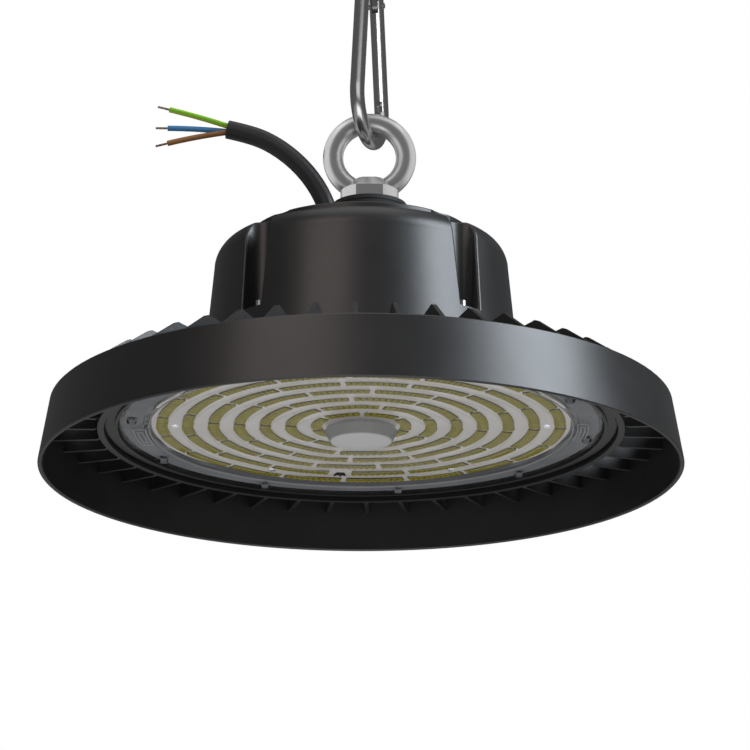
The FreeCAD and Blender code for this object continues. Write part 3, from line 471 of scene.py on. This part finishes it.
lampRows = {
    "firstRadius": 96.0,
    "ringPitch": 12.4,
    # from the outermost ring inwards: how many groups, and one gap's angle in degrees from the front
    "groups": (19, 15, 14, 12, 9, 7, 7),
    "gapAngles": (15.0, 20.5, 19.0, 5.5, 34.5, 17.0, 1.5),
    "groupGap": 2.6,
    "lampPitch": 2.9,
    "lampLength": 2.35,
    # nearly as wide as a rib shows it: the cover's low index leaves out the magnifying of the real ribs
    "lampWidth": 5.1,
    "bodyInset": 0.03,
    "windowRim": 0.22,
    "boardFace": 22.9,
    "padHeight": 0.2,
    "bodyShare": 0.85,
    "height": 0.82,
    # the lamps left out where the clip stands
    "clearRing": 1,
    "clearAngle": 187.3,
    "clearHalf": 6.4,
}


def lampTemplate():
    # one lamp as boxes of corners (along, across, down): a solder pad, a body, and a smaller window; the pad
    # and the body's sides carry painted shade of the gaps between lamps
    a = lampRows["lampLength"] / 2
    b = lampRows["lampWidth"] / 2
    rim = lampRows["windowRim"]
    body = b - lampRows["bodyInset"]
    pad = lampRows["padHeight"]
    down = lampRows["height"]
    corners = np.array(((-1, -1), (1, -1), (1, 1), (-1, 1)), float)
    levels = [((lampRows["lampPitch"] / 2, b), 0.0), ((lampRows["lampPitch"] / 2, b), pad), ((a, body), pad),
              ((a, body), down * lampRows["bodyShare"]), ((a - rim, b - rim), down)]
    verts = np.concatenate([np.column_stack((corners * np.array(size), np.full(4, d))) for size, d in levels])
    faces = [(0, 3, 2, 1), (4, 5, 6, 7), (8, 11, 10, 9)]
    for low in (0, 8, 12):
        faces += [(low + k, low + (k + 1) % 4, low + 4 + (k + 1) % 4, low + 4 + k) for k in range(4)]
    faces.append((16, 17, 18, 19))
    # material of each face: 0 pad and 1 body, both darkened with painted shade, 2 window and its slopes
    return verts, np.array(faces), np.array([0, 0, 1] + [0] * 4 + [1] * 4 + [2] * 5)


def lampPlaces():
    # every lamp's ring radius and angle; the lamps of a group share its arc evenly
    radii = []
    angles = []
    for k, (groups, gapAngle) in enumerate(zip(lampRows["groups"], lampRows["gapAngles"])):
        radius = lampRows["firstRadius"] - k * lampRows["ringPitch"]
        step = 2 * pi / groups
        arc = step * radius - lampRows["groupGap"]
        count = int(round(arc / lampRows["lampPitch"]))
        inside = (np.arange(count) - (count - 1) / 2) * arc / count / radius
        middles = radians(gapAngle) + (np.arange(groups) + 0.5) * step
        angle = (middles[:, None] + inside[None, :]).ravel() % (2 * pi)
        if k == lampRows["clearRing"]:
            angle = angle[np.abs(angle - radians(lampRows["clearAngle"])) * radius > lampRows["clearHalf"]]
        radii.append(np.full(len(angle), radius))
        angles.append(angle)
    return np.concatenate(radii), np.concatenate(angles)


lampVerts, lampFaces, lampSlots = lampTemplate()
ringRadius, ringAngle = lampPlaces()
along = np.stack((np.cos(ringAngle), np.sin(ringAngle)), -1)
outward = np.stack((np.sin(ringAngle), -np.cos(ringAngle)), -1)
# lamp point = ring point + along a + outward b, then down from the board's face
flat = ((outward * ringRadius[:, None])[:, None] + along[:, None] * lampVerts[None, :, 0:1]
        + outward[:, None] * lampVerts[None, :, 1:2])
drop = np.broadcast_to(lampRows["boardFace"] - lampVerts[:, 2], flat.shape[:2])
verts = np.concatenate((flat, drop[..., None]), -1).reshape(-1, 3)
faces = (lampFaces[None] + len(lampVerts) * np.arange(len(ringRadius))[:, None, None]).reshape(-1, 4)
lamps = meshObject("lampRows", verts, faces, "light", smooth=False)
for name in ("padWithPaintedShade", "lampSideWithPaintedShade", "phosphorGel"):
    lamps.data.materials.append(materials[name])
lamps.data.polygons.foreach_set("material_index", np.tile(lampSlots, len(ringRadius)))
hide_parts("led_rows")
print("lamps made:", len(ringRadius))


clip = {
    "radius": 85.9,
    "angle": 187.3,
    "top": 22.9,
    "bottom": 22.08,
    # outline as (along, outward)
    "outline": ((-3.1, 2.5), (-2.7, 0.2), (-1.9, -2.1), (-0.9, -2.9), (0.3, -2.6), (0.9, -3.3), (1.7, -2.9),
                (2.5, -0.2), (3.1, 2.6), (2.2, 2.9), (1.4, 1.4), (0.5, 1.2), (0.1, 2.9), (-0.8, 2.9),
                (-1.2, 1.3), (-2.1, 2.3)),
}


def clipShell():
    # the outline at two heights, joined all round, closed above and below
    outline = np.array(clip["outline"])
    turn = radians(clip["angle"])
    alongIt = np.array((cos(turn), sin(turn)))
    outOfIt = np.array((sin(turn), -cos(turn)))
    flatPoints = outline[:, :1] * alongIt + (clip["radius"] + outline[:, 1:]) * outOfIt
    rings = [np.column_stack((flatPoints, np.full(len(outline), z))) for z in (clip["top"], clip["bottom"])]
    count = len(outline)
    walls = [tuple(face) for face in gridFaces(2, count, closeColumns=True)]
    return np.concatenate(rings), walls + [tuple(range(count)), tuple(range(2 * count - 1, count - 1, -1))]


verts, faces = clipShell()
boardClip = meshObject("boardClip", verts, faces, "light", smooth=False)
boardClip.data.materials.append(materials["clipPlastic"])
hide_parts("board_clip")


lensCover = {
    "edgeRadius": 116.2,
    "bottom": 20.2,
    "top": 22.0,
    "bevel": 0.4,
    "flangeRun": 2.0,
    "ribHalfWidth": 2.8,
    "ribHeight": 0.8,
    "ribSamples": 15,
    "stepRadius": 103.7,
    "stepHalfWidth": 0.7,
    "stepHeight": 0.6,
    "stepSamples": 7,
    "cupFoot": 17.6,
    "cupFace": 14.9,
    "cupBottom": 14.4,
    "cupWall": 1.6,
    "frostPastFoot": 0.1,
    "footFillet": 0.5,
    "cupRunUp": 2.0,
    # the rounded edge of the cup's face, as (in from the face's radius, up from the face)
    "cupEdge": ((0.2, 0.25), (0.9, 0.0)),
    "cupEdgeHeight": 0.9,
    "hollowInset": 1.0,
    "hollowRise": 0.6,
    "topSamples": 12,
    "turns": 200,
}


def ribRun(radius, half, height, samples):
    # half an ellipse below the lens's flat: r = radius + half cos t, z = bottom - height sin t
    t = np.linspace(0, pi, samples)
    return [(radius + half * cos(a), lensCover["bottom"] - height * sin(a)) for a in t]


def lensProfile():
    # the section as (radius, height): along the underside to the middle, and back over the top
    c = lensCover
    under = [(c["edgeRadius"] - c["bevel"], c["bottom"]), (c["edgeRadius"] - c["flangeRun"], c["bottom"])]
    under += ribRun(c["stepRadius"], c["stepHalfWidth"], c["stepHeight"], c["stepSamples"])
    for k in range(len(lampRows["groups"])):
        radius = lampRows["firstRadius"] - k * lampRows["ringPitch"]
        under += ribRun(radius, c["ribHalfWidth"], c["ribHeight"], c["ribSamples"])
    under += [(c["cupFoot"] + c["footFillet"], c["bottom"]), (c["cupFoot"], c["bottom"] - c["bevel"])]
    slope = (c["cupFoot"] - c["cupFace"]) / (c["bottom"] - c["cupBottom"])
    under += [(c["cupFace"] + slope * c["cupEdgeHeight"], c["cupBottom"] + c["cupEdgeHeight"])]
    under += [(c["cupFace"] - inward, c["cupBottom"] + up) for inward, up in c["cupEdge"]]
    under += [(c["cupFace"] * 0.5, c["cupBottom"]), (0.0, c["cupBottom"])]
    hollow = c["cupBottom"] + c["cupWall"]
    inFace = c["cupFace"] - c["cupWall"]
    inFoot = c["cupFoot"] - c["cupWall"]
    over = [(0.0, hollow), (inFace - c["hollowInset"], hollow),
            (inFace + slope * c["cupWall"], hollow + c["hollowRise"]),
            (inFoot, c["top"] - c["footFillet"]), (inFoot + c["footFillet"], c["top"])]
    over += [(r, c["top"]) for r in np.linspace(c["cupFoot"] + c["cupRunUp"], c["edgeRadius"] - c["bevel"],
                                                c["topSamples"])]
    over += [(c["edgeRadius"], c["top"] - c["bevel"]), (c["edgeRadius"], c["bottom"] + c["bevel"])]
    return np.array(under + over)


def clearPlastic(name, look):
    # clear for sight, glossy by its coat, and plainly see-through for rays from lamps and soft bounces
    mat, tree, shader = newMaterial(name)
    shader.inputs["Base Color"].default_value = (*look["colour"], 1.0)
    shader.inputs["Transmission Weight"].default_value = look["transmission"]
    shader.inputs["IOR"].default_value = look["ior"]
    shader.inputs["Roughness"].default_value = look["rough"]
    shader.inputs["Coat Weight"].default_value = look["coat"]
    shader.inputs["Coat Roughness"].default_value = look["coatRough"]
    shader.inputs["Coat IOR"].default_value = look["coatIor"]
    passing = tree.nodes.new("ShaderNodeBsdfTransparent")
    passing.inputs[0].default_value = (*look["passes"], 1.0)
    mixed = byRay(tree, ("Is Shadow Ray", "Is Diffuse Ray"), shader.outputs[0], passing.outputs[0])
    tree.links.new(mixed, surfaceSocket(tree))
    # the cup's side is painted darker toward its foot: painted shade, as less light falls on the side than on
    # the face
    if "paintedShadeColour" in look:
        low, high = [lensCover["cupBottom"] + over for over in look["paintedShadeOver"]]
        side = heightMask(tree, objectCoords(tree), low, high)
        tree.links.new(mixColour(tree, side, look["colour"], look["paintedShadeColour"]), shader.inputs["Base Color"])
    waves = noise(tree, objectCoords(tree), look["waveScale"])
    bump(tree, shader, waves, look["bump"], look["bumpDepth"])
    return mat


# the body's index is low because the lamps sit right behind the ribs, and a real one gives dark streaks there
lensLook = {"colour": (0.95, 0.96, 0.97), "passes": (0.93, 0.94, 0.95), "ior": 1.025, "rough": 0.0,
            "transmission": 1.0, "coat": 0.25, "coatRough": 0.06, "coatIor": 1.49, "waveScale": 60.0,
            "bump": 0.03, "bumpDepth": 0.0005}
# the frosted cup is light on its face, with painted shade on its side that deepens toward the foot
cupLook = {"colour": (0.68, 0.68, 0.68), "paintedShadeColour": (0.34, 0.34, 0.34), "paintedShadeOver": (0.1, 0.7),
           "passes": (0.75, 0.75, 0.76), "ior": 1.45, "rough": 0.42, "transmission": 0.10, "coat": 0.0,
           "coatRough": 0.2, "coatIor": 1.49, "waveScale": 60.0, "bump": 0.03, "bumpDepth": 0.0005}
profile = lensProfile()
verts = turnedGrid(profile, lensCover["turns"])
faces = gridFaces(len(profile), lensCover["turns"], closeRows=True, closeColumns=True)
lens = meshObject("lensCover", verts, faces, "light")
lens.data.materials.append(clearPlastic("lensPlastic", lensLook))
lens.data.materials.append(clearPlastic("frostedCup", cupLook))
# the frosted cup is every face nearer the middle than just past the cup's foot
centres = np.zeros(3 * len(lens.data.polygons), np.float32)
lens.data.polygons.foreach_get("center", centres)
fromMiddle = centres.reshape(-1, 3) * 1000.0 + hookTop
inCup = np.hypot(fromMiddle[:, 0], fromMiddle[:, 1]) < lensCover["cupFoot"] + lensCover["frostPastFoot"]
lens.data.polygons.foreach_set("material_index", inCup.astype(np.int32))
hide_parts("lens")
print("lens made:", len(profile), "profile points")


# fine raised lines moulded on the cover's outer zone: one ring, and a frame within a frame at each side
coverLines = {
    "halfWidth": 0.34,
    "height": 0.34,
    "sunk": 0.05,
    "samples": 6,
    "ringRadius": 102.2,
    "ringSteps": 240,
    "cornerRadius": 1.0,
    "cornerSamples": 5,
    "frameSteps": 120,
    # from angle, to angle, inner radius, outer radius
    "frames": ((84.0, 99.5, 104.4, 109.4), (86.2, 97.3, 105.9, 107.9),
               (-103.5, -89.0, 103.9, 109.8), (-101.0, -91.5, 105.6, 108.1)),
}


def frameLine(low, high, inner, outer):
    # rounded rectangle bent to the cover's round: four quarter circles joined, then x, y = r sin a, -r cos a
    corner = coverLines["cornerRadius"]
    middle = (inner + outer) / 2
    half = radians(high - low) / 2 * middle
    quarter = np.linspace(0, pi / 2, coverLines["cornerSamples"])
    spots = ((half, outer, 0.0), (-half, outer, pi / 2), (-half, inner, pi), (half, inner, 1.5 * pi))
    u = np.concatenate([x - np.sign(x) * corner + corner * np.cos(quarter + turn) for x, r, turn in spots])
    r = np.concatenate([r - np.sign(r - middle) * corner + corner * np.sin(quarter + turn)
                        for x, r, turn in spots])
    # points at even steps all the way round, so that the long sides follow the cover
    u, r = np.append(u, u[0]), np.append(r, r[0])
    way = lineSteps(np.column_stack((u, r)))
    steps = np.linspace(0, way[-1], coverLines["frameSteps"], endpoint=False)
    u, r = np.interp(steps, way, u), np.interp(steps, way, r)
    angle = radians((low + high) / 2) + u / middle
    return np.column_stack((r * np.sin(angle), -r * np.cos(angle)))


def ridgeLoop(line):
    # half an ellipse carried round a closed line: line + normal half cos t, down by height sin t
    tangent = np.roll(line, -1, 0) - np.roll(line, 1, 0)
    tangent /= np.linalg.norm(tangent, axis=1)[:, None]
    normal = np.column_stack((tangent[:, 1], -tangent[:, 0]))
    t = np.linspace(0, pi, coverLines["samples"])
    flatPoints = line[:, None] + normal[:, None] * (coverLines["halfWidth"] * np.cos(t))[None, :, None]
    down = lensCover["bottom"] + coverLines["sunk"] - coverLines["height"] * np.sin(t)
    z = np.broadcast_to(down, flatPoints.shape[:2])
    return np.concatenate((flatPoints, z[..., None]), -1).reshape(-1, 3)


around = np.linspace(0, 2 * pi, coverLines["ringSteps"], endpoint=False)
lines = [coverLines["ringRadius"] * np.column_stack((np.sin(around), -np.cos(around)))]
lines += [frameLine(*values) for values in coverLines["frames"]]
allVerts = []
allFaces = []
for line in lines:
    before = sum(len(v) for v in allVerts)
    allFaces.append(gridFaces(len(line), coverLines["samples"], closeRows=True, closeColumns=True) + before)
    allVerts.append(ridgeLoop(line))
ridges = meshObject("coverLines", np.concatenate(allVerts), np.concatenate(allFaces), "light")
ridges.data.materials.append(materials["frostedRib"])
print("cover lines made:", len(lines))


# the studio, its lamps and the camera are in metres, in the model's own frame
studio = {
    "floorHeight": -2.1,
    "floorRadius": 6.6,
    "floorSides": 96,
    "floorColour": (0.86, 0.86, 0.86),
    "floorRough": 0.9,
    "floorGlow": 0.55,
    "surround": 0.40,
    "mirrored": 0.12,
    "seen": 1.0,
    "aim": (-0.004, 0.0, -0.19),
}
# name: azimuth from the front (right is +), elevation, distance, width, height, power, colour, what it lights
lampsOut = {
    "keyRight": (67.0, 31.0, 1.3, 0.72, 0.78, 16.2, (0.84, 0.92, 1.0), "coatAndBoard"),
    "fillLeft": (-26.0, 33.0, 1.5, 0.88, 0.70, 3.1, (1.0, 0.88, 0.83), "coatAndBoard"),
    "overhead": (0.0, 86.0, 1.4, 1.1, 1.1, 3.0, (1.0, 1.0, 1.0), "allButSteel"),
    "below": (0.0, -78.0, 1.3, 1.0, 1.0, 2.6, (1.0, 0.99, 0.97), "allButSteel"),
    "ringLeft": (-92.0, 25.0, 1.0, 2.1, 1.9, 8.6, (1.0, 1.0, 1.0), "ringOnly"),
    "ringRight": (95.0, 25.0, 1.0, 2.0, 1.8, 7.0, (1.0, 1.0, 1.0), "ringOnly"),
    "ringBelow": (0.0, -52.0, 1.0, 1.6, 0.9, 6.0, (1.0, 1.0, 1.0), "ringOnly"),
    "ringFront": (0.0, 30.0, 1.2, 1.2, 1.4, 0.25, (1.0, 1.0, 1.0), "ringOnly"),
    "ringAbove": (0.0, 78.0, 1.0, 1.2, 0.9, 1.9, (1.0, 1.0, 1.0), "ringOnly"),
    "hookFront": (14.0, 22.0, 1.4, 1.3, 1.0, 3.2, (1.0, 1.0, 1.0), "hookOnly"),
    "hookLow": (6.0, -42.0, 1.2, 1.40, 1.1, 6.5, (1.0, 1.0, 1.0), "hookOnly"),
    "gateFront": (4.0, 20.0, 1.4, 1.10, 1.0, 13.0, (1.0, 1.0, 1.0), "gateOnly"),
}
# the black coat stands in a dark surround, so the steel's white cards light nothing but the steel, and the
# two lamps that draw the coat's bright bands leave out the steel and the clear cover
steelNames = ("eye_bolt", "snap_hook", "snap_gate", "gate_pin")
steelPieces = [nodes[pieceName] for pieceName in steelNames]
lightGroups = {
    "allButSteel": (steelPieces, "EXCLUDE"),
    "coatAndBoard": (steelPieces + [lens], "EXCLUDE"),
    "ringOnly": ([nodes["eye_bolt"]], "INCLUDE"),
    "hookOnly": ([nodes["snap_hook"]], "INCLUDE"),
    "gateOnly": ([nodes["snap_gate"], nodes["gate_pin"]], "INCLUDE"),
}


def lightGroup(name, pieces, state):
    group = bpy.data.collections.new(name)
    for piece in pieces:
        group.objects.link(piece)
    for member in group.collection_objects:
        member.light_linking.link_state = state
    return group


def areaLamp(name, group, azimuth, elevation, distance, width, height, power, colour):
    data = bpy.data.lights.new(name, "AREA")
    data.shape = "RECTANGLE"
    data.size = width
    data.size_y = height
    data.energy = power
    data.color = colour
    lamp = bpy.data.objects.new(name, data)
    bpy.context.scene.collection.objects.link(lamp)
    lamp.light_linking.receiver_collection = group
    # place = aim + distance (cos e sin a, -cos e cos a, sin e), and the lamp looks back at the aim
    target = np.array(studio["aim"])
    flatReach = distance * cos(radians(elevation))
    where = target + np.array((flatReach * sin(radians(azimuth)), -flatReach * cos(radians(azimuth)),
                               distance * sin(radians(elevation))))
    back = target - where
    lamp.location = where
    lamp.rotation_euler = (pi / 2 + np.arctan2(back[2], np.hypot(back[0], back[1])), 0.0,
                           np.arctan2(back[1], back[0]) - pi / 2)


litGroups = {name: lightGroup(name, pieces, state) for name, (pieces, state) in lightGroups.items()}
for name, (*values, groupName) in lampsOut.items():
    areaLamp(name, litGroups[groupName], *values)
print("lights set:", len(lampsOut))

# rays that see the surroundings straight or through the clear cover
seenRays = ("Is Camera Ray", "Is Transmission Ray")


def makeFloor():
    # round white paper far below: near white where it is seen, over a lit part that keeps the shadow
    mesh = bpy.data.meshes.new("studioFloor")
    turns = np.linspace(0, 2 * pi, studio["floorSides"], endpoint=False)
    reach = studio["floorRadius"]
    edge = [(reach * cos(a), reach * sin(a), studio["floorHeight"]) for a in turns]
    mesh.from_pydata(edge, [], [tuple(range(len(edge)))])
    floor = bpy.data.objects.new("studioFloor", mesh)
    bpy.context.scene.collection.objects.link(floor)
    mat, tree, shader = newMaterial("floorPaper")
    mesh.materials.append(mat)
    shader.inputs["Base Color"].default_value = (*studio["floorColour"], 1.0)
    shader.inputs["Roughness"].default_value = studio["floorRough"]
    glow = tree.nodes.new("ShaderNodeEmission")
    glow.inputs["Strength"].default_value = studio["floorGlow"]
    lit = tree.nodes.new("ShaderNodeAddShader")
    tree.links.new(shader.outputs[0], lit.inputs[0])
    tree.links.new(glow.outputs[0], lit.inputs[1])
    tree.links.new(byRay(tree, seenRays, shader.outputs[0], lit.outputs[0]), surfaceSocket(tree))


def sky(tree, strength):
    node = tree.nodes.new("ShaderNodeBackground")
    node.inputs["Color"].default_value = (1.0, 1.0, 1.0, 1.0)
    node.inputs["Strength"].default_value = strength
    return node.outputs[0]


def makeWorld():
    # white where it is seen, dark where the coat mirrors it, and a soft surround for all other rays
    world = bpy.data.worlds.new("studioWorld")
    bpy.context.scene.world = world
    world.use_nodes = True
    tree = world.node_tree
    tree.nodes.clear()
    out = tree.nodes.new("ShaderNodeOutputWorld")
    unseen = byRay(tree, ("Is Glossy Ray",), sky(tree, studio["surround"]), sky(tree, studio["mirrored"]))
    tree.links.new(byRay(tree, seenRays, unseen, sky(tree, studio["seen"])), out.inputs["Surface"])


makeFloor()
makeWorld()

camera = {"place": (0.0027, -1.6903, -0.73005), "pitch": 17.188, "lens": 175.32, "sensor": 36.0,
          "clipEnd": 50.0}
cameraData = bpy.data.cameras.new("photoCamera")
cameraData.lens = camera["lens"]
cameraData.sensor_width = camera["sensor"]
cameraData.clip_end = camera["clipEnd"]
cameraObject = bpy.data.objects.new("photoCamera", cameraData)
cameraObject.location = camera["place"]
cameraObject.rotation_euler = (radians(90.0 + camera["pitch"]), 0.0, 0.0)
bpy.context.scene.collection.objects.link(cameraObject)
bpy.context.scene.camera = cameraObject
bpy.context.scene.view_settings.view_transform = "Standard"
print("studio and camera set")
